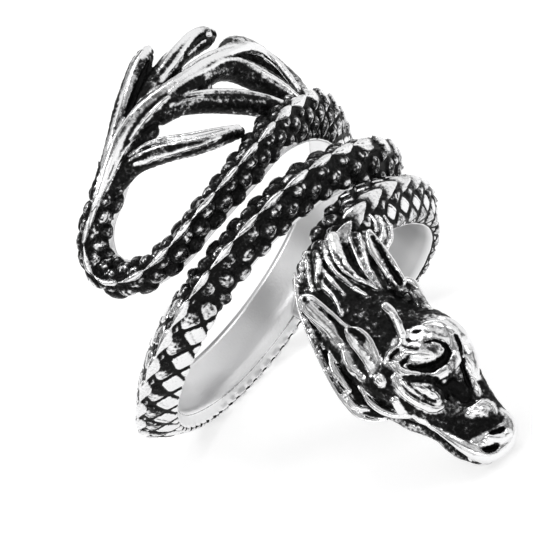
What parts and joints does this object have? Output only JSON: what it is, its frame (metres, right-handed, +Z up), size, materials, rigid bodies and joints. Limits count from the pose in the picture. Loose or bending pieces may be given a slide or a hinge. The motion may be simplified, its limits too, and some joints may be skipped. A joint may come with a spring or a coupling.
{
  "type": "dragon ring",
  "caption": "Wrap-around finger ring cast as one dragon, with a forked tail fan, a scaled body wound round the finger and a horned head lying along it.",
  "frame": {"origin": "on the floor under the middle of the ring's box, with the ring lying on its side as it rests by itself", "axes": "+Z up from the floor, the finger hole slants down in the X-Z plane, with the head towards +X near the floor and the tail fan raised towards -X"},
  "size_m": [0.0348, 0.0252, 0.0269],
  "materials": {
    "metal": "cast steel, polished on the raised scales, ridges and inside the band, blackened in every groove"
  },
  "bodies": {
    "root": {"dragon_ring": "metal"}
  },
  "joints": []
}
